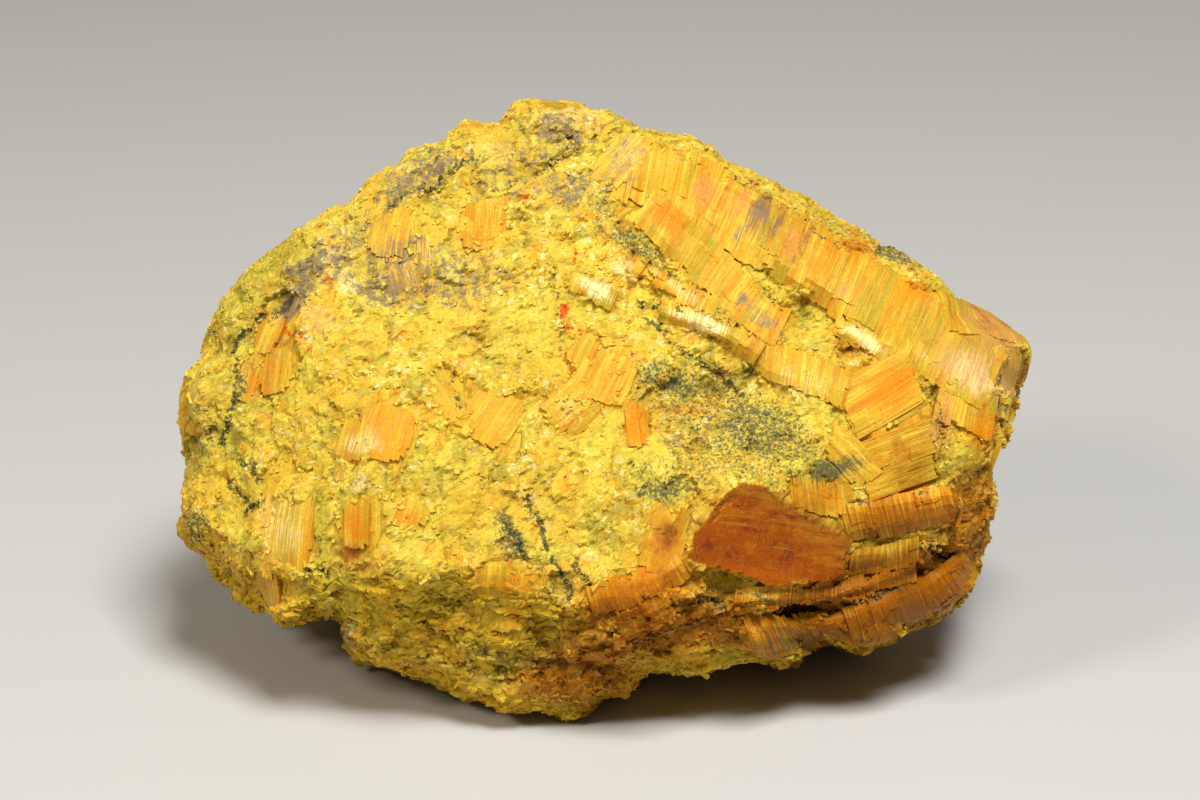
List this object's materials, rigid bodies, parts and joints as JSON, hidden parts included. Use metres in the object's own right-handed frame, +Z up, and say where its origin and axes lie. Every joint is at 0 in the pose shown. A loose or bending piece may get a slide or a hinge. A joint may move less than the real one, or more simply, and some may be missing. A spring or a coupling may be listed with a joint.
{
  "type": "rough orpiment",
  "caption": "Rough lump of golden-yellow orpiment: a broken, faceted stone with bands of fibrous laths, stepped ledges and a cleaved face, standing on a flat base as a display mineral.",
  "frame": {"origin": "middle of the base: the centre of the bounding box in X and Y, at the lowest face", "axes": "+X along the stone's longest side, to the right of a viewer in front; front faces -Y; +Z up"},
  "size_m": [0.1132, 0.0591, 0.0729],
  "materials": {
    "orpiment": "rough, crumbly golden-yellow sulphide with a resinous to pearly shine on its cleaved laths"
  },
  "bodies": {
    "root": {"rough_orpiment": "orpiment"}
  },
  "joints": []
}
